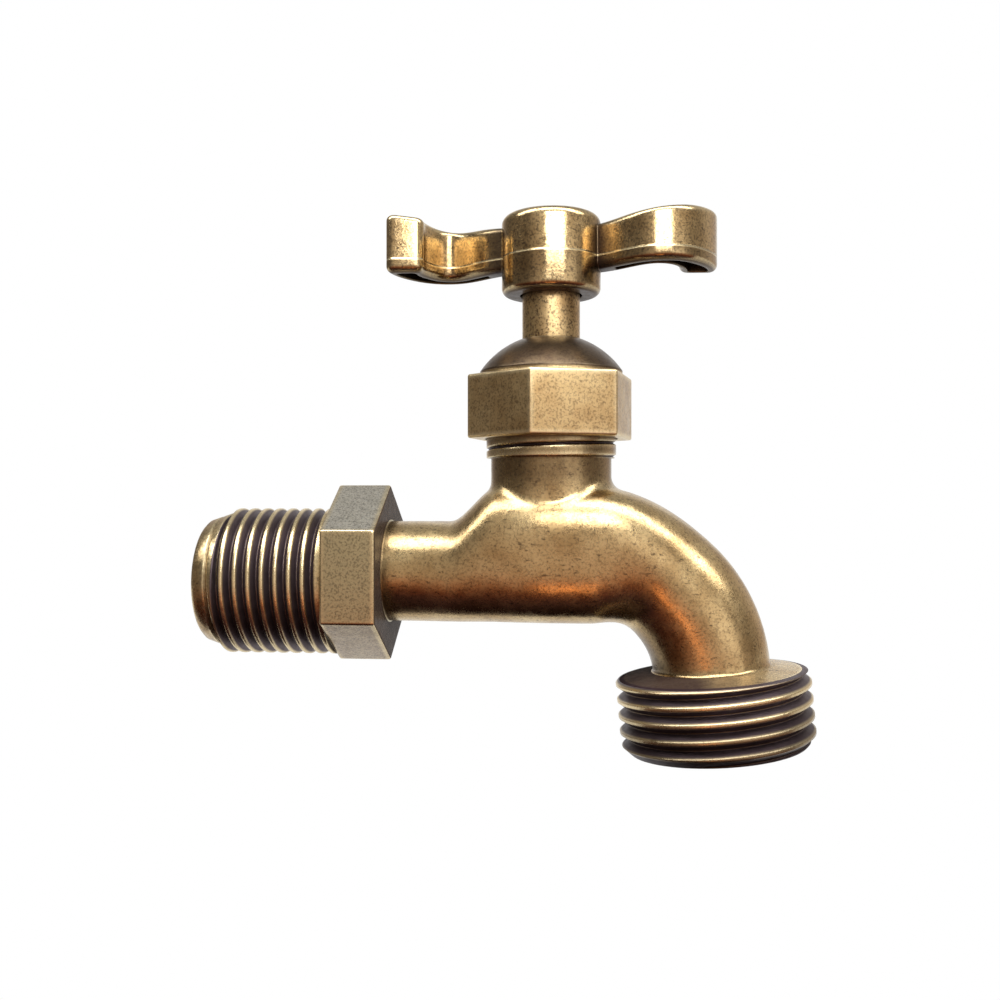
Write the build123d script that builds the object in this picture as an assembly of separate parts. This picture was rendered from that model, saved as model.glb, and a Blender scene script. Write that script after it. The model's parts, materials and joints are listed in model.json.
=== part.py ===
from build123d import *
import math
import os

os.makedirs("parts", exist_ok=True)

# Frame: origin on the inlet thread's axis at the hexagon's shoulder, X to the spout, Z up the stem, in mm

# Inlet end: 1/2-14 pipe thread as a plain cylinder, then a spanner hexagon
inlet_thread_r = 10.4
inlet_thread_len = 15.4
inlet_lead_len = 3.3
inlet_lead_r = 9.75
inlet_end_r = 8.8
inlet_hex_af = 21.7
inlet_hex_len = 7.6
inlet_hex_axis_z = 1.25
hex_edge_round = 0.4
inlet_bore_r = 7.0
inlet_bore_end_x = 2.0

# Water way through the body
body_axis_z = 1.5
barrel_r = 7.1
stem_x = 30.5
chamber_r = 9.5
chamber_axis_z = 4.05
chamber_half_width = 9.9
chamber_square = 3.2
swell_start_x = stem_x - 21.5
shoulder_start_x = stem_x - 14.3
shoulder_end_x = stem_x - 7.1
bend_centre_x = stem_x + 5.4
bend_centre_z = -13.2
bend_rise = chamber_axis_z - bend_centre_z
bend_reach = 16.85
bend_deg = 85.0
spout_mid_r = 8.15
spout_end_r = 8.0
section_pitch = 1.25
section_points = 16
bore_pitch = 2.0
wall = 2.0

# Outlet end: 3/4-11.5 hose thread as a plain cylinder
outlet_thread_r = 13.3
outlet_len = 10.85
outlet_end_bevel = 1.2
outlet_top_bevel = 0.35
outlet_mouth_r = 9.4
outlet_mouth_depth = 6.5
spout_fillet = 0.5

# Neck that carries the bonnet nut
neck_r = 8.45
neck_thread_r = 9.1
neck_top_z = chamber_axis_z + 21.75
neck_thread_start_z = neck_top_z - 8.3
neck_fillet = 2.0

# Seat bridge inside the chamber
bridge_under_z = body_axis_z - 1.4
bridge_top_z = bridge_under_z + 1.6
seat_top_z = bridge_top_z + 0.6
seat_hole_r = 3.8
seat_lip_r = 5.2
bridge_left_x = stem_x - 6.7
bridge_wall = 2.0
bridge_right_x = stem_x + 5.5
lower_way_x = stem_x - 11.5

# Stem and its fits
stem_r = 4.05
stem_thread_r = 6.1
running_clearance = 0.08
stem_travel = 5.0
stem_foot_r = 5.2
stem_foot_z = seat_top_z + 4.3
stem_thread_bottom_z = stem_foot_z + 4.2
stem_stop_gap = 0.3
tang_side = 5.6

# Gland: washer and packing under the nut's ceiling
gland_washer_r = 8.0
gland_washer_t = 0.8
packing_r = 7.0
packing_t = 3.5

# Bonnet nut
nut_hex_af = 20.9
nut_bottom_z = neck_top_z - 5.65
nut_hex_top_z = nut_bottom_z + 8.85
nut_vertex_deg = -10.0
nut_ledge_r = 10.0
nut_edge_round = 0.35
dome_r = 12.1
dome_centre_z = nut_hex_top_z - 6.2
dome_top_z = dome_centre_z + 11.4
nut_thread_gap = 0.2

# Jumper valve
jumper_r = 5.2
jumper_t = 1.8
jumper_pin_r = 1.7
jumper_pin_len = 3.2
jumper_stud_r = 1.25
seat_washer_r = 5.0
washer_nut_af = 4.4
washer_nut_t = 1.4
stud_end = 0.3

# Handle: round hub with two curled arms
hub_r = 6.95
hub_bottom_z = dome_top_z + 6.1
hub_top_z = hub_bottom_z + 11.2
hub_bottom_round = 1.0
hub_top_round = 1.3
hub_socket_r = 4.4
tang_bottom_z = hub_bottom_z + 2.0
tang_top_z = hub_top_z - 2.9
arm_bottom_z = hub_bottom_z + 3.3
arm_top_hub_z = hub_bottom_z + 9.6
arm_top_tip_z = hub_bottom_z + 11.5
arm_reach = 22.5
arm_top_round = 0.8
arm_bottom_round = 1.0
arm_pocket_wall = 1.15
arm_pocket_depth = 4.0
arm_pocket_start_r = 9.2
handle_rest_deg = 10.0
screw_head_r = 3.4
screw_head_t = 1.8
screw_recess_r = 3.8
screw_recess_depth = 2.0
screw_shank_r = 1.9
screw_len = 6.3
screw_slot = 0.9

# Arm centre line in plan with its half widths, hub centre at the origin, the other arm is its half turn
arm_line = [(2.0, 0.3), (5.0, -0.7), (7.6, -2.5), (9.8, -5.0), (12.0, -7.2), (14.7, -8.1), (17.5, -6.7),
            (19.7, -4.0), (20.7, -0.6)]
arm_half_hub = 1.9
arm_half_mid = 1.75
arm_half_tip = 2.75
arm_tip_round = 1.3
arm_samples = 9


def tube_plane(x, z, heading_deg=0.0):
    """Plane square to the water way, heading along +X and turned down by heading_deg."""
    a = math.radians(heading_deg)
    return Plane(origin=(x, 0, z), x_dir=(0, 1, 0), z_dir=(math.cos(a), 0, -math.sin(a)))


def ease(t):
    """Smooth step from 0 to 1."""
    return t * t * (3 - 2 * t)


def blend(a, b, t):
    """Value between a and b."""
    return a + (b - a) * t


def bend_station(deg):
    """Plane, half height, half width and squareness of the spout at an angle round the bend."""
    a = math.radians(deg)
    t = deg / bend_deg
    first = ease(min(1.0, 2 * t))
    last = ease(max(0.0, 2 * t - 1))
    x = bend_centre_x + bend_reach * math.sin(a)
    z = bend_centre_z + bend_rise * math.cos(a)
    high = blend(blend(chamber_r, spout_mid_r, first), spout_end_r, last)
    wide = blend(blend(chamber_half_width, spout_mid_r, first), spout_end_r, last)
    return tube_plane(x, z, deg), high, wide, blend(chamber_square, 2.0, first)


def station(x):
    """Plane, half height, half width and squareness at a length x along the centre line."""
    if x > bend_centre_x:
        return bend_station(math.degrees((x - bend_centre_x) / bend_reach))
    rise = ease(min(1.0, max(0.0, (x - shoulder_start_x) / (shoulder_end_x - shoulder_start_x))))
    swell = ease(min(1.0, max(0.0, (x - swell_start_x) / (stem_x - swell_start_x))))
    high = blend(barrel_r, chamber_r, rise)
    wide = blend(barrel_r, chamber_half_width, swell)
    plane = tube_plane(x, blend(body_axis_z, chamber_axis_z, rise))
    return plane, high, wide, blend(2.0, chamber_square, swell)


def stations(x0, pitch):
    """Evenly spaced sections from x0 to the end of the spout."""
    x1 = bend_centre_x + bend_reach * math.radians(bend_deg)
    count = round((x1 - x0) / pitch)
    return [station(x0 + (x1 - x0) * i / count) for i in range(count + 1)]


def oval(plane, high, wide, square):
    """Closed section: round where square is 2, and a round-cornered box above that."""
    points = []
    for i in range(section_points):
        a = 2 * math.pi * i / section_points
        y = math.copysign(abs(math.cos(a)) ** (2 / square), math.cos(a)) * wide
        z = math.copysign(abs(math.sin(a)) ** (2 / square), math.sin(a)) * high
        points.append((y, z))
    return plane * make_face(Spline(*points, periodic=True))


def oval_tube(sections):
    """Solid through the outside sections."""
    return loft([oval(*section) for section in sections])


def round_tube(sections, inset):
    """Solid through round sections of the sections' height, inset all round."""
    return loft([plane * Circle(high - inset) for plane, high, wide, square in sections])


def rod_x(r, x0, x1, z=0.0):
    """Cylinder along X between two places."""
    return extrude(tube_plane(x0, z) * Circle(r), x1 - x0)


def water_body():
    """Barrel, shoulder, chamber and spout as one outside shape."""
    return oval_tube(stations(inlet_hex_len - 1, section_pitch))


def turned_along_x(profile):
    """Solid turned about the X axis from (x, radius) points."""
    wire = Polyline(*[(x, 0, r) for x, r in profile], close=True)
    return revolve(make_face(wire), Axis.X)


def turned_along_z(profile, x=0.0):
    """Solid turned about a vertical axis from (radius, z) points."""
    wire = Polyline(*[(r, 0, z) for r, z in profile], close=True)
    return Pos(x, 0, 0) * revolve(make_face(wire), Axis.Z)


def disc(r, z0, z1, x=stem_x):
    """Upright cylinder between two heights."""
    return Pos(x, 0, (z0 + z1) / 2) * Cylinder(r, z1 - z0)


outlet_plane = bend_station(bend_deg)[0]


def along_outlet(shape):
    """Place a shape built along +Z so that it runs down the outlet's axis from the collar's top."""
    return outlet_plane * shape


def inlet_end():
    """Thread cylinder with its lead-in, and the hexagon with softened edges."""
    end_x = -inlet_thread_len - inlet_lead_len
    thread = turned_along_x([
        (end_x, 0), (end_x, inlet_end_r - 0.4), (end_x + 0.4, inlet_end_r),
        (-inlet_thread_len, inlet_lead_r), (-inlet_thread_len, inlet_thread_r),
        (0, inlet_thread_r), (0, 0)])
    prism = extrude(tube_plane(0, inlet_hex_axis_z) * RegularPolygon(inlet_hex_af / 2, 6, major_radius=False, rotation=30),
                    inlet_hex_len)
    return thread + fillet(prism.edges(), hex_edge_round)


def outlet_collar():
    """Hose thread cylinder with a flat top and a bevelled end."""
    return along_outlet(turned_along_z([
        (0, 0), (outlet_thread_r - outlet_top_bevel, 0), (outlet_thread_r, outlet_top_bevel),
        (outlet_thread_r, outlet_len - outlet_end_bevel),
        (outlet_thread_r - outlet_end_bevel, outlet_len), (0, outlet_len)]))


def water_ways():
    """Everything that is cored out of the body."""
    end_x = -inlet_thread_len - inlet_lead_len
    inlet = rod_x(inlet_bore_r, end_x - 1, inlet_bore_end_x)
    barrel_bore = rod_x(barrel_r - wall, 0, bridge_left_x - bridge_wall, body_axis_z)
    lower = rod_x(chamber_r - wall, lower_way_x, bridge_right_x, chamber_axis_z)
    lower &= Pos(stem_x, 0, bridge_under_z - chamber_r) * Box(4 * chamber_r, 4 * chamber_r, 2 * chamber_r)
    seat = disc(seat_hole_r, bridge_under_z - 1, seat_top_z + 1)
    upper = round_tube(stations(bridge_left_x, bore_pitch), wall)
    bridge_end = bridge_right_x + bridge_wall
    upper -= Pos(bridge_end - 2 * chamber_r, 0, bridge_top_z - chamber_r) * Box(
        4 * chamber_r, 4 * chamber_r, 2 * chamber_r)
    neck_bore = disc(stem_thread_r + running_clearance, bridge_top_z, neck_top_z + 1)
    mouth = along_outlet(disc(outlet_mouth_r, outlet_len - outlet_mouth_depth, outlet_len + 1, 0))
    throat = along_outlet(disc(spout_end_r - wall, 0, outlet_len, 0))
    return inlet + barrel_bore + lower + seat + upper + neck_bore + mouth + throat


def make_body():
    """One casting: inlet thread, hexagon, barrel, chamber, neck, spout and hose thread."""
    body = inlet_end() + water_body()
    body += disc(neck_r, chamber_axis_z, neck_top_z) + disc(neck_thread_r, neck_thread_start_z, neck_top_z)
    neck_root = [e for e in body.edges()
                 if all(abs(math.hypot(p.X - stem_x, p.Y) - neck_r) < 0.02 and p.Z < neck_thread_start_z - 0.5
                        for p in (e @ 0.1, e @ 0.37, e @ 0.7))]
    body = fillet(neck_root, neck_fillet)
    body += outlet_collar()
    spout_root = [e for e in body.edges()
                  if all(abs(outlet_plane.to_local_coords(p).Z) < 0.02 and
                         abs(math.hypot(outlet_plane.to_local_coords(p).X, outlet_plane.to_local_coords(p).Y)
                             - spout_end_r) < 0.05 for p in (e @ 0.1, e @ 0.4, e @ 0.7))]
    body = fillet(spout_root, spout_fillet)
    body -= water_ways()
    lip = disc(seat_lip_r, bridge_top_z - 0.5, seat_top_z) - disc(seat_hole_r, bridge_top_z - 1, seat_top_z + 1)
    return body + lip


def make_bonnet_nut():
    """Hexagon nut with softened edges, a narrow ledge and a round dome, bored for neck, gland and stem."""
    prism = Pos(0, 0, nut_bottom_z) * extrude(
        RegularPolygon(nut_hex_af / 2, 6, major_radius=False, rotation=nut_vertex_deg - 90), nut_hex_top_z - nut_bottom_z)
    dome = Pos(0, 0, dome_centre_z) * Sphere(dome_r)
    dome &= Pos(0, 0, (nut_hex_top_z - 1 + dome_top_z) / 2) * Cylinder(nut_ledge_r, dome_top_z - nut_hex_top_z + 1)
    shape = fillet(prism.edges(), nut_edge_round) + dome
    washer_top = neck_top_z + gland_washer_t
    ceiling = washer_top + packing_t
    cored = turned_along_z([
        (0, nut_bottom_z - 1), (neck_thread_r + nut_thread_gap, nut_bottom_z - 1),
        (neck_thread_r + nut_thread_gap, neck_top_z + 0.2), (gland_washer_r + 0.2, neck_top_z + 0.2),
        (gland_washer_r + 0.2, washer_top), (packing_r, washer_top), (packing_r, ceiling),
        (stem_r + running_clearance, ceiling), (stem_r + running_clearance, dome_top_z + 1), (0, dome_top_z + 1)])
    return Pos(stem_x, 0, 0) * (shape - cored)


def make_gland_washer():
    """Flat brass washer on the neck's end."""
    top = neck_top_z + gland_washer_t
    return disc(gland_washer_r, neck_top_z, top) - disc(stem_r + running_clearance, neck_top_z - 1, top + 1)


def make_packing_ring():
    """Soft packing between the washer and the nut's ceiling."""
    bottom = neck_top_z + gland_washer_t
    top = bottom + packing_t
    return disc(packing_r, bottom, top) - disc(stem_r + running_clearance / 2, bottom - 1, top + 1)


def make_stem():
    """Threaded spindle with a foot, a shank and a square tang tapped for the screw."""
    thread_top = neck_top_z - stem_travel - stem_stop_gap
    stem = turned_along_z([
        (0, stem_foot_z), (stem_foot_r - 0.4, stem_foot_z), (stem_foot_r, stem_foot_z + 0.4),
        (stem_foot_r, stem_thread_bottom_z), (stem_thread_r, stem_thread_bottom_z + 0.6),
        (stem_thread_r, thread_top - 0.6), (stem_thread_r - 0.6, thread_top), (stem_r, thread_top),
        (stem_r, tang_bottom_z), (0, tang_bottom_z)], stem_x)
    tang = Pos(stem_x, 0, (tang_bottom_z + tang_top_z) / 2) * Rot(0, 0, handle_rest_deg) * Box(
        tang_side, tang_side, tang_top_z - tang_bottom_z)
    stem += tang
    socket = disc(jumper_pin_r + running_clearance, stem_foot_z - 1, stem_foot_z + jumper_pin_len + 0.6)
    screw_hole = disc(screw_shank_r, hub_top_z - screw_recess_depth - screw_len - 0.6, tang_top_z + 1)
    return stem - socket - screw_hole


def make_jumper():
    """Brass plate with a guide pin above and a threaded stud below."""
    top = stem_foot_z
    under = top - jumper_t
    stud_bottom = under - (under - seat_top_z) - washer_nut_t - stud_end
    return turned_along_z([
        (0, stud_bottom), (jumper_stud_r, stud_bottom), (jumper_stud_r, under), (jumper_r, under),
        (jumper_r, top), (jumper_pin_r, top), (jumper_pin_r, top + jumper_pin_len), (0, top + jumper_pin_len)], stem_x)


def make_seat_washer():
    """Rubber disc that closes the seat."""
    top = stem_foot_z - jumper_t
    return disc(seat_washer_r, seat_top_z, top) - disc(jumper_stud_r, seat_top_z - 1, top + 1)


def make_washer_nut():
    """Small hexagon nut that holds the rubber disc."""
    nut = Pos(stem_x, 0, seat_top_z - washer_nut_t) * extrude(
        RegularPolygon(washer_nut_af / 2, 6, major_radius=False), washer_nut_t)
    return nut - disc(jumper_stud_r, seat_top_z - washer_nut_t - 1, seat_top_z + 1)


def arm_half(t):
    """Half width of the arm from the hub (0) to the tip (1)."""
    if t < 0.5:
        return arm_half_hub + (arm_half_mid - arm_half_hub) * 2 * t
    return arm_half_mid + (arm_half_tip - arm_half_mid) * (2 * t - 1)


def arm_plan(inset=0.0):
    """Plan outline of one arm, inset all round."""
    line = Spline(*arm_line)
    outer = []
    inner = []
    for i in range(arm_samples + 1):
        t = i / arm_samples * (1 - inset / line.length)
        p = line @ t
        d = line % t
        w = arm_half(t) - inset
        outer.append((p.X + d.Y * w, p.Y - d.X * w))
        inner.append((p.X - d.Y * w, p.Y + d.X * w))
    edges = [Spline(*outer), Line(outer[-1], inner[-1]), Spline(*inner), Line(inner[0], outer[0])]
    plan = make_face(edges)
    tip = [v for v in plan.vertices() if v.X > arm_reach / 2]
    return fillet(tip, arm_tip_round * (arm_half_tip - inset) / arm_half_tip)


def make_arm():
    """One curled arm with a rounded rim below and a blind pocket in its underside."""
    arm = Pos(0, 0, arm_bottom_z) * extrude(arm_plan(), arm_top_tip_z + 2 - arm_bottom_z)
    slope = math.atan2(arm_top_tip_z - arm_top_hub_z, arm_reach - hub_r)
    roof = Plane(origin=(hub_r, 0, arm_top_hub_z), x_dir=(math.cos(slope), 0, math.sin(slope)),
                 z_dir=(-math.sin(slope), 0, math.cos(slope)))
    arm = split(arm, bisect_by=roof, keep=Keep.BOTTOM)
    top_rim = arm.faces().sort_by(Axis.Z)[-1].edges().filter_by(lambda e: (e @ 0.5).X > 3)
    arm = fillet(top_rim, arm_top_round)
    low_rim = arm.faces().sort_by(Axis.Z)[0].edges().filter_by(lambda e: (e @ 0.5).X > 3)
    arm = fillet(low_rim, arm_bottom_round)
    pocket = Pos(0, 0, arm_bottom_z) * extrude(arm_plan(arm_pocket_wall), arm_pocket_depth)
    pocket -= disc(arm_pocket_start_r, arm_bottom_z - 1, hub_top_z, 0)
    return arm - pocket


def make_handle():
    """Hub and two arms, with a round socket, a square hole and a recess for the screw head."""
    hub = disc(hub_r, hub_bottom_z, hub_top_z, 0)
    hub = fillet(hub.edges().sort_by(Axis.Z)[-1], hub_top_round)
    hub = fillet(hub.edges().sort_by(Axis.Z)[0], hub_bottom_round)
    arm = make_arm()
    handle = hub + arm + Rot(0, 0, 180) * arm
    recess_floor = hub_top_z - screw_recess_depth
    handle -= disc(hub_socket_r, hub_bottom_z - 1, tang_bottom_z, 0)
    handle -= Pos(0, 0, (tang_bottom_z + tang_top_z) / 2) * Box(tang_side, tang_side, tang_top_z - tang_bottom_z)
    handle -= disc(screw_shank_r + 0.2, tang_top_z - 1, recess_floor + 1, 0)
    handle -= disc(screw_recess_r, recess_floor, hub_top_z + 1, 0)
    return Pos(stem_x, 0, 0) * Rot(0, 0, handle_rest_deg) * handle


def make_handle_screw():
    """Slotted screw that holds the handle on the stem."""
    seat = hub_top_z - screw_recess_depth
    top = seat + screw_head_t
    screw = turned_along_z([
        (0, seat - screw_len), (screw_shank_r - 0.5, seat - screw_len), (screw_shank_r, seat - screw_len + 0.5),
        (screw_shank_r, seat), (screw_head_r, seat), (screw_head_r, top - 0.6), (screw_head_r - 0.9, top), (0, top)])
    screw -= Pos(0, 0, top) * Box(3 * screw_head_r, screw_slot, 1.6)
    return Pos(stem_x, 0, 0) * Rot(0, 0, handle_rest_deg + 30) * screw


export_step(make_body(), "parts/body.step")
export_step(make_bonnet_nut(), "parts/bonnet_nut.step")
export_step(make_gland_washer(), "parts/gland_washer.step")
export_step(make_packing_ring(), "parts/packing_ring.step")
export_step(make_stem(), "parts/stem.step")
export_step(make_jumper(), "parts/jumper.step")
export_step(make_seat_washer(), "parts/seat_washer.step")
export_step(make_washer_nut(), "parts/washer_nut.step")
export_step(make_handle(), "parts/handle.step")
export_step(make_handle_screw(), "parts/handle_screw.step")
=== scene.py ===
"""Looks of a decorative garden tap in antique brass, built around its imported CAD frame."""

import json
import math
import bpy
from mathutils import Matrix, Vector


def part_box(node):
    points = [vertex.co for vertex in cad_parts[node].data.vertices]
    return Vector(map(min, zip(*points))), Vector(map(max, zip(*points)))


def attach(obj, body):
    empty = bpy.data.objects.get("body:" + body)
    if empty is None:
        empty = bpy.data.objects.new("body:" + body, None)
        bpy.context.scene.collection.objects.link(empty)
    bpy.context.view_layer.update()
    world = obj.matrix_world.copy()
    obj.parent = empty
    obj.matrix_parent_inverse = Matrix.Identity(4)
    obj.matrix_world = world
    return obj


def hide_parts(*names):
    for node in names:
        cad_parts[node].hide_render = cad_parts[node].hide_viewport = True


bl_info = {
    "name": "Garden Tap",
    "version": (1, 0, 0),
    "blender": (4, 5, 0),
    "location": "3D View > Sidebar > Tap",
    "description": "Builds the visible pieces of a brass garden tap around its CAD frame",
    "category": "Add Mesh",
}

import bpy
from mathutils import Vector

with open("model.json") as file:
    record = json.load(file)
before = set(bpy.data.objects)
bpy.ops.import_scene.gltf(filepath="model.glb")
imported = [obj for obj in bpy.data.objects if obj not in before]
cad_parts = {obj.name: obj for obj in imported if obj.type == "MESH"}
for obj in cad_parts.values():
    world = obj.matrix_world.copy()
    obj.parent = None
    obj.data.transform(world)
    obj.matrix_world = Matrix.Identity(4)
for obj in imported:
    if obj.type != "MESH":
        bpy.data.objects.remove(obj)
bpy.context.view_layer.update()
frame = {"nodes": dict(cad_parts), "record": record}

MM = 0.001
MOUNTS = {m["name"]: m for m in frame["record"]["mounts"]}
JOINTS = {j["name"]: j for j in frame["record"]["behaviour"]["joints"]}
INLET = MOUNTS["inlet_thread"]
OUTLET = MOUNTS["outlet_thread"]
OUTLET_AXIS = Vector(OUTLET["axis"]).normalized()
STEM_X = JOINTS["handle_turn"]["pos_m"][0]
STEM_FOOT = (STEM_X, 0.0, 0.0)
X_AXIS = (1.0, 0.0, 0.0)
Z_AXIS = (0.0, 0.0, 1.0)

# Sizes of the solids that the frame doesn't name
HEX_LENGTH = 7.6 * MM
BARREL_AXIS = (0.0, 0.0, 1.5 * MM)
BARREL_ROOT_R = 7.3 * MM
LEAD_R = 9.55 * MM
NECK_THREAD_R = 9.1 * MM
STEM_THREAD_R = 6.1 * MM
STEM_THREAD_Z = 10.2 * MM
HUB_R = 6.95 * MM
SEAM_Z = 45.5 * MM

# Camera of the photograph, level with the body and turned a little to the left
CAMERA_PLACE = (STEM_X + 8.3 * MM, -147.9 * MM, 11.6 * MM)
CAMERA_TURN = (math.radians(90), 0, math.radians(6))
CAMERA_LENS = 37.8

# Colour of the room from straight down (0) to straight up (1): dark and warm below, pale above
ROOM = (
    (0.0, (0.012, 0.006, 0.006, 1)), (0.1, (0.055, 0.025, 0.03, 1)), (0.23, (0.18, 0.052, 0.03, 1)),
    (0.3, (0.42, 0.18, 0.1, 1)), (0.37, (0.68, 0.41, 0.32, 1)), (0.45, (0.7, 0.58, 0.5, 1)),
    (0.85, (0.57, 0.56, 0.54, 1)), (1.0, (0.4, 0.4, 0.4, 1)),
)


# Sizes and colours the pieces are made from

class TapSizes(bpy.types.PropertyGroup):
    inlet_pitch: bpy.props.FloatProperty(
        name="Inlet pitch", description="Ridge spacing of the pipe thread", default=1.89 * MM, unit="LENGTH")
    inlet_depth: bpy.props.FloatProperty(
        name="Inlet depth", description="Groove depth of the pipe thread", default=1.15 * MM, unit="LENGTH")
    lead_depth: bpy.props.FloatProperty(
        name="Lead depth", description="Groove depth where the pipe thread runs in", default=0.55 * MM, unit="LENGTH")
    hose_pitch: bpy.props.FloatProperty(
        name="Hose pitch", description="Ridge spacing of the hose thread", default=2.2 * MM, unit="LENGTH")
    hose_depth: bpy.props.FloatProperty(
        name="Hose depth", description="Groove depth of the hose thread", default=1.2 * MM, unit="LENGTH")
    neck_pitch: bpy.props.FloatProperty(
        name="Neck pitch", description="Ridge spacing of the thread under the nut", default=1.9 * MM, unit="LENGTH")
    neck_depth: bpy.props.FloatProperty(
        name="Neck depth", description="Groove depth of the thread under the nut", default=0.45 * MM, unit="LENGTH")
    stem_pitch: bpy.props.FloatProperty(
        name="Stem pitch", description="Lead of the stem's lifting thread", default=2.5 * MM, unit="LENGTH")
    stem_depth: bpy.props.FloatProperty(
        name="Stem depth", description="Groove depth of the lifting thread", default=0.9 * MM, unit="LENGTH")
    groove_share: bpy.props.FloatProperty(
        name="Groove share", description="Part of the pitch that the groove takes", default=0.82, min=0.3, max=0.9)


class TapColours(bpy.types.PropertyGroup):
    brass: bpy.props.StringProperty(name="Brass", description="Clean brass", default="CEB586")
    aged: bpy.props.StringProperty(name="Aged brass", description="Darker mottling", default="A58558")
    # Patina, also laid on as painted shade: deeper in hollows, on the hexagon's end face, the collar's ledge, the
    # spout's inner bend, the nut's dome and the handle's underside and lower half
    patina_and_shade: bpy.props.StringProperty(name="Patina", description="Dark hollows", default="2A1E20")
    groove: bpy.props.StringProperty(name="Groove", description="Blackened thread grooves", default="5C5154")
    # Painted reflections on the inlet hexagon's flats: pale on the upper flat, olive on the side flats, grey on the
    # lower flat
    painted_top_reflection: bpy.props.StringProperty(name="Top_reflection", description="Pale upper flat", default="D8D8D0")
    painted_side_reflection: bpy.props.StringProperty(name="Olive", description="Greenish front flat", default="B4AC8A")
    painted_low_reflection: bpy.props.StringProperty(name="Low_reflection", description="Grey lower flat", default="8E8680")
    # Worn edges, and also the painted highlight along the handle's parting seam
    wear_and_seam_highlight: bpy.props.StringProperty(name="Worn edge", description="Rubbed edges", default="EBD9AE")
    machined: bpy.props.StringProperty(name="Machined brass", description="Hidden brass", default="DDB86A")
    rubber: bpy.props.StringProperty(name="Rubber", description="Seat washer", default="1E1D1C")
    packing: bpy.props.StringProperty(name="Packing", description="Graphited packing", default="34322F")
    bloom: bpy.props.StringProperty(name="Bloom", description="Grey film on soft pieces", default="4A4642")
    paper: bpy.props.StringProperty(name="Paper", description="Backdrop", default="F4F4F2")


def linear(hex_colour):
    """Linear RGBA of an sRGB hex colour."""
    out = []
    for i in (0, 2, 4):
        c = int(hex_colour[i:i + 2], 16) / 255
        out.append(c / 12.92 if c <= 0.04045 else ((c + 0.055) / 1.055) ** 2.4)
    return (*out, 1.0)


def collar_top():
    """Centre of the hose collar's top face."""
    half = OUTLET["dims"]["length_mm"] * MM / 2
    return Vector(OUTLET["pos_m"]) - OUTLET_AXIS * (half + 0.35 * MM)


# Mesh helpers

def select_only(obj):
    """Make one object the whole selection."""
    bpy.ops.object.select_all(action="DESELECT")
    obj.select_set(True)
    bpy.context.view_layer.objects.active = obj


def apply_modifier(obj, kind, **settings):
    """Add a modifier, set it and apply it."""
    select_only(obj)
    bpy.ops.object.modifier_add(type=kind)
    modifier = obj.modifiers[-1]
    for key, value in settings.items():
        setattr(modifier, key, value)
    bpy.ops.object.modifier_apply(modifier=modifier.name)


def edit(obj, *steps):
    """Run edit-mode operators on the whole mesh."""
    select_only(obj)
    bpy.ops.object.mode_set(mode="EDIT")
    bpy.ops.mesh.select_all(action="SELECT")
    for step in steps:
        step()
    bpy.ops.object.mode_set(mode="OBJECT")


def copy_node(node_name, name):
    """A merged copy of a CAD node's mesh as a new object."""
    source = frame["nodes"][node_name]
    obj = bpy.data.objects.new(name, source.data.copy())
    bpy.context.scene.collection.objects.link(obj)
    select_only(obj)
    bpy.ops.mesh.customdata_custom_splitnormals_clear()
    edit(obj,
         lambda: bpy.ops.mesh.remove_doubles(threshold=1e-7),
         lambda: bpy.ops.mesh.normals_make_consistent(inside=False))
    return obj


def helix_cutter(radius, depth, pitch, turns, share, start_deg=0.0):
    """A closed V-shaped helix about +Z that starts at the origin and cuts inwards from a radius."""
    beyond = 0.5 * depth
    width = share * pitch * (depth + beyond) / depth
    bpy.ops.object.select_all(action="DESELECT")
    bpy.ops.mesh.primitive_circle_add(vertices=3, radius=1, fill_type="NOTHING",
                                      rotation=(math.pi / 2, -math.pi / 2, 0))
    obj = bpy.context.object
    bpy.ops.object.transform_apply(location=False, rotation=True, scale=False)
    obj.scale = ((depth + beyond) / 1.5, 1, width / math.sqrt(3))
    obj.location = (radius - depth + (depth + beyond) / 1.5, 0, 0)
    bpy.ops.object.transform_apply(location=True, rotation=False, scale=True)
    steps = round(72 * turns)
    apply_modifier(obj, "SCREW", axis="Z", angle=2 * math.pi * turns, screw_offset=pitch * turns,
                   iterations=1, steps=steps, render_steps=steps, use_merge_vertices=False)
    edit(obj,
         lambda: bpy.ops.mesh.fill_holes(sides=4),
         lambda: bpy.ops.mesh.normals_make_consistent(inside=False))
    obj.rotation_euler = (0, 0, math.radians(start_deg))
    select_only(obj)
    bpy.ops.object.transform_apply(location=False, rotation=True, scale=False)
    return obj


def cut_thread(obj, cutter, start, axis):
    """Lay a helix along an axis from a start point and cut it out of a piece."""
    cutter.rotation_mode = "QUATERNION"
    cutter.rotation_quaternion = Vector((0, 0, 1)).rotation_difference(Vector(axis))
    cutter.location = start
    select_only(cutter)
    bpy.ops.object.transform_apply(location=True, rotation=True, scale=False)
    before = len(obj.data.vertices)
    apply_modifier(obj, "BOOLEAN", operation="DIFFERENCE", solver="EXACT", object=cutter)
    bpy.data.objects.remove(cutter, do_unlink=True)
    if len(obj.data.vertices) == before:
        raise RuntimeError(f"No thread was cut into {obj.name}")


def slope_rim(obj, top, axis, inner, drop):
    """Lower a collar's top edge along its axis, so that its ledge slopes outwards."""
    select_only(obj)
    bpy.ops.object.mode_set(mode="EDIT")
    bpy.ops.mesh.select_mode(type="VERT")
    bpy.ops.mesh.select_all(action="DESELECT")
    bpy.ops.object.mode_set(mode="OBJECT")
    for vertex in obj.data.vertices:
        offset = vertex.co - top
        along = offset.dot(axis)
        vertex.select = -0.1 * MM < along < 0.4 * MM and (offset - axis * along).length > inner
    bpy.ops.object.mode_set(mode="EDIT")
    bpy.ops.transform.translate(value=axis * drop)
    bpy.ops.object.mode_set(mode="OBJECT")


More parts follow.
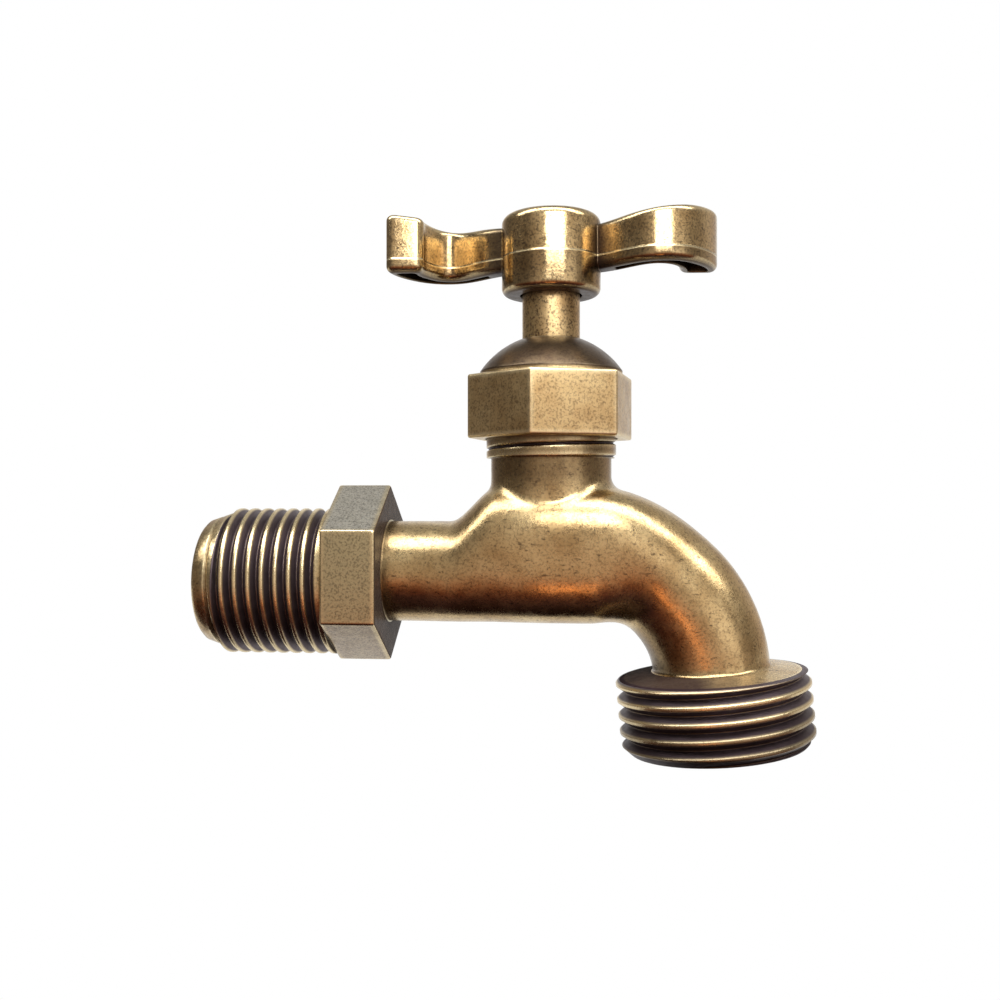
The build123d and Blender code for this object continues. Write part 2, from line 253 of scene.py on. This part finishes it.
def finish_piece(obj, body, node_name, material, angle_deg=32.0):
    """Smooth a piece, give it its material and tie it to the frame."""
    select_only(obj)
    bpy.ops.object.shade_smooth_by_angle(angle=math.radians(angle_deg))
    obj.data.materials.clear()
    obj.data.materials.append(material)
    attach(obj, body)
    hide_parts(node_name)


# Materials

def node(tree, kind, attrs=None, inputs=None):
    """Add a shader node, set its attributes, and set or link its inputs."""
    made = tree.nodes.new(kind)
    for key, value in (attrs or {}).items():
        setattr(made, key, value)
    for key, value in (inputs or {}).items():
        if isinstance(value, bpy.types.NodeSocket):
            tree.links.new(value, made.inputs[key])
        else:
            made.inputs[key].default_value = value
    return made


def math_node(tree, operation, a, b=0.0):
    """Result of one operation on two values."""
    return node(tree, "ShaderNodeMath", {"operation": operation}, {0: a, 1: b}).outputs[0]


def ramp(tree, value, low, high, to_low=0.0, to_high=1.0):
    """A value carried from one range to another and held at its ends."""
    return node(tree, "ShaderNodeMapRange", {"clamp": True}, {
        "Value": value, "From Min": low, "From Max": high, "To Min": to_low, "To Max": to_high}).outputs[0]


def mix_colour(tree, factor, a, b):
    """Colour between a (factor 0) and b (factor 1)."""
    made = node(tree, "ShaderNodeMix", {"data_type": "RGBA"}, {0: factor})
    for index, value in ((6, a), (7, b)):
        if isinstance(value, bpy.types.NodeSocket):
            tree.links.new(value, made.inputs[index])
        else:
            made.inputs[index].default_value = value
    return made.outputs[2]


def noise(tree, coord, size, detail=3.0, stretch=None):
    """Noise with a feature size in metres."""
    if stretch:
        coord = node(tree, "ShaderNodeMapping", None, {"Vector": coord, "Scale": stretch}).outputs[0]
    return node(tree, "ShaderNodeTexNoise", None, {
        "Vector": coord, "Scale": 1 / size, "Detail": detail, "Roughness": 0.6}).outputs["Fac"]


def new_material(name):
    """A material with one Principled shader."""
    material = bpy.data.materials.new(name)
    material.use_nodes = True
    tree = material.node_tree
    tree.nodes.clear()
    shader = node(tree, "ShaderNodeBsdfPrincipled")
    out = node(tree, "ShaderNodeOutputMaterial")
    tree.links.new(shader.outputs[0], out.inputs[0])
    return material, tree, shader


def split(tree, vector):
    """The X, Y and Z sockets of a vector."""
    return node(tree, "ShaderNodeSeparateXYZ", None, {0: vector}).outputs


def facing(tree):
    """The X, Y and Z sockets of the way the surface faces."""
    return split(tree, node(tree, "ShaderNodeNewGeometry").outputs["Normal"])


def axis_places(tree, coord, origin, axis):
    """Sockets for the place along an axis and the distance from it."""
    offset = node(tree, "ShaderNodeVectorMath", {"operation": "SUBTRACT"}, {0: coord, 1: origin}).outputs[0]
    along = node(tree, "ShaderNodeVectorMath", {"operation": "DOT_PRODUCT"}, {0: offset, 1: axis}).outputs["Value"]
    on_axis = node(tree, "ShaderNodeVectorMath", {"operation": "SCALE"}, {0: axis, "Scale": along}).outputs[0]
    radial = node(tree, "ShaderNodeVectorMath", {"operation": "SUBTRACT"}, {0: offset, 1: on_axis}).outputs[0]
    distance = node(tree, "ShaderNodeVectorMath", {"operation": "LENGTH"}, {0: radial}).outputs["Value"]
    return along, distance


def between(tree, value, low, high):
    """1 where a value lies between two limits."""
    return node(tree, "ShaderNodeMath", {"operation": "COMPARE"}, {
        0: value, 1: (low + high) / 2, 2: abs(high - low) / 2}).outputs[0]


def times(tree, first, *others):
    """Product of several values."""
    for other in others:
        first = math_node(tree, "MULTIPLY", first, other)
    return first


def groove_mask(tree, coord, origin, axis, start, end, crest, root):
    """1 in a thread's grooves and 0 on its crests, along one stretch of an axis."""
    along, distance = axis_places(tree, coord, origin, axis)
    deep = ramp(tree, distance, crest, root)
    outside = math_node(tree, "GREATER_THAN", distance, root - 0.8 * MM)
    return times(tree, deep, outside, between(tree, along, start, end))


# The tap is cast brass that was blackened and then tumbled: the eye sees tan gold metal with soft reflections,
# dark specks and hollows where the black stayed, and bright edges where it was rubbed off.
# Part of the darkening in the hollows is painted shade, and so are several layers further on
def antique_brass(name, colours, rough, grooves=(), sand=0.3, wear=0.7, seam_z=None, layers=None,
                  shade=(1.6 * MM, 0.8, 0.25), dents=0.6):
    """Antique brass. Its hollows are darkened, partly as painted shade; shade gives how far that reaches and the
    openness at which it starts and is full.
    """
    material, tree, shader = new_material(name)
    coord = node(tree, "ShaderNodeTexCoord").outputs["Object"]
    patina_and_shade = linear(colours.patina_and_shade)
    wear_and_seam_highlight = linear(colours.wear_and_seam_highlight)
    # Mottled metal with a fine grain and short dark marks
    mottle = ramp(tree, noise(tree, coord, 5 * MM, 4), 0.35, 0.7)
    speckle = noise(tree, coord, 0.32 * MM, 2)
    flecks = ramp(tree, noise(tree, coord, 1.1 * MM, 2, stretch=(1, 2.6, 2.6)), 0.62, 0.7)
    pits = ramp(tree, noise(tree, coord, 0.8 * MM, 2, stretch=(2.6, 2.2, 1.2)), 0.63, 0.71)
    marks = math_node(tree, "MAXIMUM", flecks, pits)
    colour = mix_colour(tree, times(tree, mottle, 0.75), linear(colours.brass), linear(colours.aged))
    colour = mix_colour(tree, ramp(tree, speckle, 0.48, 0.64, 0.0, sand), colour, patina_and_shade)
    colour = mix_colour(tree, times(tree, marks, dents), colour, patina_and_shade)
    # Outer edges, where there is little metal behind the surface, are rubbed bright
    metal = node(tree, "ShaderNodeAmbientOcclusion", {"samples": 8, "inside": True, "only_local": True},
                 {"Distance": 0.9 * MM}).outputs["AO"]
    colour = mix_colour(tree, ramp(tree, metal, 0.97, 0.8, 0.0, wear), colour, wear_and_seam_highlight)
    # Hollows are darkened: partly the blackening they keep, partly painted shade
    open_sky = node(tree, "ShaderNodeAmbientOcclusion", {"samples": 8}, {"Distance": shade[0]}).outputs["AO"]
    dark = ramp(tree, open_sky, shade[1], shade[2])
    colour = mix_colour(tree, times(tree, dark, 0.85), colour, patina_and_shade)
    for groove in grooves:
        mask = groove_mask(tree, coord, *groove)
        colour = mix_colour(tree, mask, colour, linear(colours.groove))
        dark = math_node(tree, "MAXIMUM", dark, mask)
    matt = 0.0
    for mask, hex_colour, dull in (layers(tree, coord, colours) if layers else ()):
        if not dull:
            # A layer without dullness gives way at the edges: thin coats are rubbed through, and painted reflections
            # stop short of the edges
            mask = times(tree, mask, ramp(tree, metal, 0.97, 0.8, 1.0, 1.0 - wear))
        colour = mix_colour(tree, mask, colour, linear(hex_colour))
        matt = math_node(tree, "MAXIMUM", times(tree, mask, dull), matt)
    # Softened edges and a faint grain
    rounded = node(tree, "ShaderNodeBevel", {"samples": 8}, {"Radius": 0.32 * MM}).outputs[0]
    surface = node(tree, "ShaderNodeBump", None, {
        "Strength": 0.25, "Distance": 0.05 * MM, "Height": speckle, "Normal": rounded}).outputs[0]
    if seam_z is not None:
        # Parting seam: the lower mould half stands out a little as a bump step, with a painted highlight along its
        # edge and painted shade on that lower half
        height = split(tree, coord)[2]
        step = ramp(tree, height, seam_z + 0.12 * MM, seam_z - 0.12 * MM)
        surface = node(tree, "ShaderNodeBump", None, {
            "Strength": 1.0, "Distance": 0.16 * MM, "Height": step, "Normal": surface}).outputs[0]
        seam_highlight = between(tree, height, seam_z - 0.22 * MM, seam_z + 0.02 * MM)
        seam_shade = math_node(tree, "LESS_THAN", height, seam_z - 0.22 * MM)
        # Painted shade on the lower half, and a painted highlight along the seam
        colour = mix_colour(tree, times(tree, seam_shade, 0.3), colour, patina_and_shade)
        colour = mix_colour(tree, times(tree, seam_highlight, 0.6), colour, wear_and_seam_highlight)
    roughness = ramp(tree, noise(tree, coord, 1.5 * MM), 0.3, 0.7, rough, rough + 0.12)
    roughness = math_node(tree, "ADD", roughness, times(tree, dark, 0.2))
    tree.links.new(colour, shader.inputs["Base Color"])
    tree.links.new(roughness, shader.inputs["Roughness"])
    tree.links.new(surface, shader.inputs["Normal"])
    shader.inputs["Metallic"].default_value = 1.0
    if layers:
        # Dull layers have lost the metal's shine: thick oxide, and the painted shade on some faces
        oxide = node(tree, "ShaderNodeBsdfDiffuse", None, {"Color": colour, "Roughness": 1.0})
        mixed = node(tree, "ShaderNodeMixShader", None, {0: matt, 1: shader.outputs[0], 2: oxide.outputs[0]})
        out = next(n for n in tree.nodes if n.type == "OUTPUT_MATERIAL")
        tree.links.new(mixed.outputs[0], out.inputs[0])
    return material


# Layers on the brass of one piece: each has a mask, a colour and how dull it is

def hexagon_layers(tree, coord, colours):
    """Painted reflections on the inlet hexagon's flats, coloured by the way they face, with dark grain, and painted
    shade on its dull end.
    """
    x = split(tree, coord)[0]
    up = facing(tree)[2]
    on_hex = between(tree, x, 0.0, HEX_LENGTH)
    # Painted reflection: the flats take a colour by the way they face, olive at the sides, pale on top and grey
    # underneath
    front = times(tree, on_hex, ramp(tree, math_node(tree, "ABSOLUTE", up), 0.5, 0.2), 0.8)
    top = times(tree, on_hex, ramp(tree, up, 0.5, 0.8), 0.7)
    low = times(tree, on_hex, ramp(tree, up, -0.5, -0.8), 0.6)
    sand = times(tree, on_hex, ramp(tree, noise(tree, coord, 0.28 * MM, 2), 0.48, 0.62), 0.45)
    from_barrel = axis_places(tree, coord, BARREL_AXIS, X_AXIS)[1]
    # Painted shade on the hexagon's end face, dull as well
    end = times(tree, between(tree, x, HEX_LENGTH - 0.1 * MM, HEX_LENGTH + 0.5 * MM),
                math_node(tree, "GREATER_THAN", from_barrel, BARREL_ROOT_R), 0.93)
    return [(front, colours.painted_side_reflection, 0.0), (top, colours.painted_top_reflection, 0.0), (low, colours.painted_low_reflection, 0.0),
            (sand, colours.patina_and_shade, 0.0), (end, colours.patina_and_shade, 0.8)]


def outlet_layers(tree, coord, colours):
    """Darker lower ridges of the hose thread, painted shade on the spout's faces that turn towards the body, and
    painted shade on the collar's ledge, deepest at its left.
    """
    x = split(tree, coord)[0]
    along, distance = axis_places(tree, coord, tuple(collar_top()), tuple(OUTLET_AXIS))
    # Darker towards the collar's lower end
    down_the_collar = math_node(tree, "ADD", ramp(tree, along, 4.4 * MM, 6.4 * MM, 0.0, 0.5),
                       ramp(tree, along, 7 * MM, 11 * MM, 0.0, 0.25))
    ridges = times(tree, down_the_collar, math_node(tree, "GREATER_THAN", distance, 11 * MM))
    # Painted shade on the spout's faces that turn towards the body
    bend = times(tree, ramp(tree, facing(tree)[0], -0.45, -0.85, 0.0, 0.7),
                 math_node(tree, "GREATER_THAN", x, 40 * MM), math_node(tree, "LESS_THAN", along, -0.2 * MM))
    # Painted shade on the collar's ledge, deepest at its left
    ledge = times(tree, between(tree, along, -0.1 * MM, 0.72 * MM),
                  math_node(tree, "GREATER_THAN", distance, 8.2 * MM), ramp(tree, x, 50 * MM, 62 * MM, 0.95, 0.2))
    return [(ridges, colours.patina_and_shade, 0.1), (bend, colours.patina_and_shade, 0.05), (ledge, colours.patina_and_shade, 1.0)]


def body_layers(tree, coord, colours):
    """Darker neck just above the body, dark mottling on the inlet's lead, and the layers of the hexagon and the
    outlet.
    """
    height, from_stem = axis_places(tree, coord, STEM_FOOT, Z_AXIS)
    neck = times(tree, ramp(tree, height, 12 * MM, 15 * MM), ramp(tree, from_stem, 9.8 * MM, 9.3 * MM), 0.5)
    lead_start = -INLET["dims"]["length_mm"] * MM - 0.1 * MM
    lead = times(tree, math_node(tree, "LESS_THAN", split(tree, coord)[0], lead_start),
                 ramp(tree, noise(tree, coord, 0.6 * MM), 0.45, 0.65, 0.0, 0.35))
    return [(neck, colours.patina_and_shade, 0.0), *hexagon_layers(tree, coord, colours),
            (lead, colours.patina_and_shade, 0.15), *outlet_layers(tree, coord, colours)]


def nut_layers(tree, coord, colours):
    """Painted shade: the dome above the hexagon, under the handle's hub, is darkened."""
    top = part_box("bonnet_nut")[1][2]
    # Painted shade on the dome
    dome = ramp(tree, split(tree, coord)[2], top - 4.9 * MM, top - 4.7 * MM, 0.0, 0.85)
    return [(dome, colours.patina_and_shade, 0.15)]


def handle_layers(tree, coord, colours):
    """Painted shade on what faces down, and the blackening that hands never rub off where the arms meet the hub."""
    # Painted shade on what faces down
    underside_shade = ramp(tree, facing(tree)[2], -0.55, -0.9, 0.0, 0.8)
    from_stem = axis_places(tree, coord, STEM_FOOT, Z_AXIS)[1]
    root = times(tree, ramp(tree, from_stem, HUB_R + 4.05 * MM, HUB_R + 0.65 * MM),
                 ramp(tree, from_stem, HUB_R + 0.01 * MM, HUB_R + 0.15 * MM), 0.75)
    return [(underside_shade, colours.patina_and_shade, 0.6), (root, colours.patina_and_shade, 0.3)]


# Turned brass inside the tap, never blackened: clear yellow metal, streaked by the lathe
def machined_brass(name, colours):
    """Clean brass with fine turning marks."""
    material, tree, shader = new_material(name)
    coord = node(tree, "ShaderNodeTexCoord").outputs["Object"]
    marks = noise(tree, coord, 0.3 * MM, 2, stretch=(0.3, 0.3, 2.0))
    colour = mix_colour(tree, ramp(tree, noise(tree, coord, 2 * MM), 0.3, 0.7),
                        linear(colours.machined), linear(colours.brass))
    tree.links.new(colour, shader.inputs["Base Color"])
    tree.links.new(ramp(tree, marks, 0.3, 0.7, 0.22, 0.4), shader.inputs["Roughness"])
    shader.inputs["Metallic"].default_value = 1.0
    return material


# Rubber and graphited packing: soft, nearly black, without shine, with a grey film in their grain
def soft_rubber(name, colours, hex_colour):
    """Matt rubber or packing with a fine grain."""
    material, tree, shader = new_material(name)
    coord = node(tree, "ShaderNodeTexCoord").outputs["Object"]
    grain = noise(tree, coord, 0.25 * MM, 3)
    colour = mix_colour(tree, ramp(tree, grain, 0.3, 0.8), linear(hex_colour), linear(colours.bloom))
    tree.links.new(colour, shader.inputs["Base Color"])
    tree.links.new(ramp(tree, grain, 0.3, 0.7, 0.6, 0.85), shader.inputs["Roughness"])
    return material


def give_material(node_name, material):
    """Put a material on a CAD node that is shown as it is."""
    mesh = frame["nodes"][node_name].data
    mesh.materials.clear()
    mesh.materials.append(material)


# Pieces

class TAP_OT_body(bpy.types.Operator):
    """Cast body with its three cut threads"""
    bl_idname = "tap.body"
    bl_label = "Tap body"

    def execute(self, context):
        sizes = context.scene.tap_sizes
        colours = context.scene.tap_colours
        body = copy_node("body", "Body")
        inlet_r = INLET["dims"]["r_mm"] * MM
        inlet_len = INLET["dims"]["length_mm"] * MM
        # Pipe thread: it runs in over the lead, and its first full groove passes the front just right of it
        start_x = -inlet_len + 0.6 * MM - 1.75 * sizes.inlet_pitch
        turns = (-0.9 * MM - start_x) / sizes.inlet_pitch
        cutter = helix_cutter(inlet_r, sizes.inlet_depth, sizes.inlet_pitch, turns, sizes.groove_share)
        cut_thread(body, cutter, (start_x, 0, 0), X_AXIS)
        cutter = helix_cutter(LEAD_R, sizes.lead_depth, sizes.inlet_pitch, 1.75, 0.45)
        cut_thread(body, cutter, (start_x + 0.25 * MM, 0, 0), X_AXIS)
        # Hose thread: its first groove runs out through the top of the collar at the back
        hose_r = OUTLET["dims"]["r_mm"] * MM
        top = collar_top()
        slope_rim(body, top, OUTLET_AXIS, hose_r - 0.6 * MM, 0.75 * MM)
        start_deg = 60
        first = 1.85 * MM - (0.75 - start_deg / 360) * sizes.hose_pitch
        turns = (11.3 * MM - first) / sizes.hose_pitch
        cutter = helix_cutter(hose_r, sizes.hose_depth, sizes.hose_pitch, turns, sizes.groove_share, start_deg)
        cut_thread(body, cutter, top + OUTLET_AXIS * first, OUTLET_AXIS)
        # Neck thread: it runs in through its lower edge, and one groove shows under the nut
        nut_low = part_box("bonnet_nut")[0][2]
        start = nut_low - 2.65 * MM
        cutter = helix_cutter(NECK_THREAD_R, sizes.neck_depth, sizes.neck_pitch, 3.6, 0.3, -90)
        cut_thread(body, cutter, (STEM_X, 0, start - 0.3 * MM), Z_AXIS)
        # Where each thread lies, and the radii of its bright crests and black roots
        grooves = [
            ((0.0, 0.0, 0.0), (-1.0, 0.0, 0.0), 0.0, inlet_len, inlet_r - 0.04 * MM, inlet_r - 0.32 * MM),
            (tuple(top), tuple(OUTLET_AXIS), 0.3 * MM, 12 * MM, hose_r - 0.06 * MM, hose_r - 0.36 * MM),
            (STEM_FOOT, Z_AXIS, start, nut_low + 4 * MM, NECK_THREAD_R - 0.08 * MM, NECK_THREAD_R - 0.3 * MM),
        ]
        material = antique_brass("antique_brass_body", colours, 0.21, grooves, sand=0.35, layers=body_layers)
        finish_piece(body, "tap_body", "body", material)
        return {"FINISHED"}


class TAP_OT_bonnet(bpy.types.Operator):
    """Hexagon nut with its dome"""
    bl_idname = "tap.bonnet"
    bl_label = "Bonnet nut"

    def execute(self, context):
        colours = context.scene.tap_colours
        nut = copy_node("bonnet_nut", "BonnetNut")
        material = antique_brass("antique_brass_nut", colours, 0.27, sand=0.45, layers=nut_layers, dents=0.2)
        finish_piece(nut, "tap_body", "bonnet_nut", material, 25.0)
        return {"FINISHED"}


class TAP_OT_handle(bpy.types.Operator):
    """Handle with its curled arms, and its screw"""
    bl_idname = "tap.handle"
    bl_label = "Handle"

    def execute(self, context):
        colours = context.scene.tap_colours
        handle = copy_node("handle", "Handle")
        # Hollows darkened far out: painted shade in the arms' curls and round the hub
        material = antique_brass("antique_brass_handle", colours, 0.13, sand=0.5, seam_z=SEAM_Z,
                                 layers=handle_layers, shade=(7 * MM, 0.9, 0.4))
        finish_piece(handle, "spindle", "handle", material)
        screw = copy_node("handle_screw", "HandleScrew")
        material = antique_brass("antique_brass_screw", colours, 0.25, sand=0.25)
        finish_piece(screw, "spindle", "handle_screw", material)
        return {"FINISHED"}


class TAP_OT_stem(bpy.types.Operator):
    """Stem with its lifting thread"""
    bl_idname = "tap.stem"
    bl_label = "Stem"

    def execute(self, context):
        sizes = context.scene.tap_sizes
        colours = context.scene.tap_colours
        stem = copy_node("stem", "Stem")
        cutter = helix_cutter(STEM_THREAD_R, sizes.stem_depth, sizes.stem_pitch, 4.4, 0.6)
        cut_thread(stem, cutter, (STEM_X, 0, STEM_THREAD_Z), Z_AXIS)
        material = antique_brass("antique_brass_stem", colours, 0.26, sand=0.7, dents=0.3)
        finish_piece(stem, "spindle", "stem", material)
        return {"FINISHED"}


class TAP_OT_inner(bpy.types.Operator):
    """Materials of the hidden pieces"""
    bl_idname = "tap.inner"
    bl_label = "Inner pieces"

    def execute(self, context):
        colours = context.scene.tap_colours
        brass = machined_brass("machined_brass", colours)
        for name in ("gland_washer", "jumper", "washer_nut"):
            give_material(name, brass)
        give_material("seat_washer", soft_rubber("black_rubber", colours, colours.rubber))
        give_material("packing_ring", soft_rubber("graphite_packing", colours, colours.packing))
        return {"FINISHED"}


# Stage

def area_light(name, place, target, width, height, radiance, colour=(1, 1, 1)):
    """A soft box of a given brightness that faces a target."""
    bpy.ops.object.light_add(type="AREA", location=place)
    light = bpy.context.object
    light.name = name
    light.data.shape = "RECTANGLE"
    light.data.size = width
    light.data.size_y = height
    light.data.color = colour
    light.data.energy = radiance * math.pi * width * height
    light.rotation_euler = (Vector(target) - Vector(place)).to_track_quat("-Z", "Y").to_euler()
    return light


def around(target, azimuth, elevation, distance):
    """A place at an angle from the front of a target."""
    a = math.radians(azimuth)
    e = math.radians(elevation)
    return Vector(target) + distance * Vector((math.sin(a) * math.cos(e), -math.cos(a) * math.cos(e), math.sin(e)))


# White paper: matt, and plain white to the eye and in the metal
def white_paper(colours):
    """The backdrop's material."""
    material = bpy.data.materials.new("white_paper")
    material.use_nodes = True
    tree = material.node_tree
    tree.nodes.clear()
    path = node(tree, "ShaderNodeLightPath")
    seen = math_node(tree, "MAXIMUM", path.outputs["Is Camera Ray"], path.outputs["Is Glossy Ray"])
    seen = math_node(tree, "MAXIMUM", seen, path.outputs["Is Transmission Ray"])
    paper = node(tree, "ShaderNodeBsdfDiffuse", None, {"Color": linear(colours.paper)})
    white = node(tree, "ShaderNodeEmission", None, {"Color": (1, 1, 1, 1), "Strength": 1.0})
    mixed = node(tree, "ShaderNodeMixShader", None, {0: seen, 1: paper.outputs[0], 2: white.outputs[0]})
    out = node(tree, "ShaderNodeOutputMaterial")
    tree.links.new(mixed.outputs[0], out.inputs[0])
    return material


def paper_backdrop(colours):
    """A floor whose far edge is drawn up into a wall."""
    bpy.ops.object.select_all(action="DESELECT")
    bpy.ops.mesh.primitive_plane_add(size=1.6, location=(STEM_X, 0.825, -0.075))
    backdrop = bpy.context.object
    backdrop.name = "Backdrop"
    bpy.ops.object.transform_apply(location=True, rotation=False, scale=True)
    bpy.ops.object.mode_set(mode="EDIT")
    bpy.ops.mesh.select_mode(type="EDGE")
    bpy.ops.mesh.select_all(action="DESELECT")
    bpy.ops.object.mode_set(mode="OBJECT")
    for edge in backdrop.data.edges:
        edge.select = all(backdrop.data.vertices[i].co.y > 1 for i in edge.vertices)
    bpy.ops.object.mode_set(mode="EDIT")
    bpy.ops.mesh.extrude_region_move(TRANSFORM_OT_translate={"value": (0, 0, 1.4)})
    bpy.ops.object.mode_set(mode="OBJECT")
    backdrop.data.materials.append(white_paper(colours))
    return backdrop


def room_world():
    """The room that the metal mirrors: darker at its far left and right, and white to the camera."""
    world = bpy.data.worlds.new("Room")
    world.use_nodes = True
    tree = world.node_tree
    tree.nodes.clear()
    direction = split(tree, node(tree, "ShaderNodeTexCoord").outputs["Generated"])
    level = node(tree, "ShaderNodeValToRGB", None, {0: ramp(tree, direction[2], -1.0, 1.0)})
    stops = level.color_ramp.elements
    stops[0].position, stops[0].color = ROOM[0]
    stops[1].position, stops[1].color = ROOM[-1]
    for position, colour in ROOM[1:-1]:
        stops.new(position).color = colour
    left = ramp(tree, direction[0], -0.8, -0.4, 0.28, 1.0)
    right = ramp(tree, direction[0], 0.8, 1.0, 1.0, 0.45)
    room = node(tree, "ShaderNodeBackground", None, {
        "Color": level.outputs[0], "Strength": times(tree, left, right)})
    white = node(tree, "ShaderNodeBackground", None, {"Color": (1, 1, 1, 1), "Strength": 1.0})
    camera_ray = node(tree, "ShaderNodeLightPath").outputs["Is Camera Ray"]
    mixed = node(tree, "ShaderNodeMixShader", None, {0: camera_ray, 1: room.outputs[0], 2: white.outputs[0]})
    out = node(tree, "ShaderNodeOutputWorld")
    tree.links.new(mixed.outputs[0], out.inputs[0])
    return world


class TAP_OT_stage(bpy.types.Operator):
    """Pale backdrop, soft light and the camera of the photograph"""
    bl_idname = "tap.stage"
    bl_label = "Stage"

    def execute(self, context):
        scene = context.scene
        paper_backdrop(scene.tap_colours)
        scene.world = room_world()
        # Soft boxes: overhead, before the handle, at the right, and warm light from the table
        centre = (STEM_X, 0.0, 10 * MM)
        warm = (1.0, 0.42, 0.16)
        lamps = [
            area_light("Ceiling", (STEM_X, -0.17, 0.5), (STEM_X, -0.17, 0.0), 1.8, 0.26, 6.0),
            area_light("Window", (58 * MM, -0.12, 96 * MM), (STEM_X, 0.0, 55 * MM), 0.095, 0.056, 8.0),
            area_light("Side", around(centre, 42, 6, 0.6), centre, 0.4, 0.2, 0.75),
            area_light("Table", (37 * MM, -0.11, -50 * MM), (37 * MM, 0.0, 0.0), 0.05, 0.014, 2.3, warm),
        ]
        bpy.ops.object.camera_add(location=CAMERA_PLACE, rotation=CAMERA_TURN)
        camera = context.object
        camera.data.lens = CAMERA_LENS
        camera.data.sensor_width = 36
        camera.data.clip_start = 0.005
        scene.camera = camera
        scene.view_settings.view_transform = "Standard"
        return {"FINISHED"}


class TAP_PT_panel(bpy.types.Panel):
    """Buttons that build the tap"""
    bl_label = "Garden tap"
    bl_idname = "TAP_PT_panel"
    bl_space_type = "VIEW_3D"
    bl_region_type = "UI"
    bl_category = "Tap"

    def draw(self, context):
        for operator in STEPS:
            self.layout.operator(operator.bl_idname)
        for group in (context.scene.tap_sizes, context.scene.tap_colours):
            for name in group.__annotations__:
                self.layout.prop(group, name)


STEPS = (TAP_OT_body, TAP_OT_bonnet, TAP_OT_handle, TAP_OT_stem, TAP_OT_inner, TAP_OT_stage)
CLASSES = (TapSizes, TapColours, *STEPS, TAP_PT_panel)


def register():
    for cls in CLASSES:
        bpy.utils.register_class(cls)
    bpy.types.Scene.tap_sizes = bpy.props.PointerProperty(type=TapSizes)
    bpy.types.Scene.tap_colours = bpy.props.PointerProperty(type=TapColours)


def unregister():
    del bpy.types.Scene.tap_colours
    del bpy.types.Scene.tap_sizes
    for cls in reversed(CLASSES):
        bpy.utils.unregister_class(cls)


def main():
    register()
    bpy.ops.tap.body()
    bpy.ops.tap.bonnet()
    bpy.ops.tap.handle()
    bpy.ops.tap.stem()
    bpy.ops.tap.inner()
    bpy.ops.tap.stage()


if __name__ == "__main__":
    main()
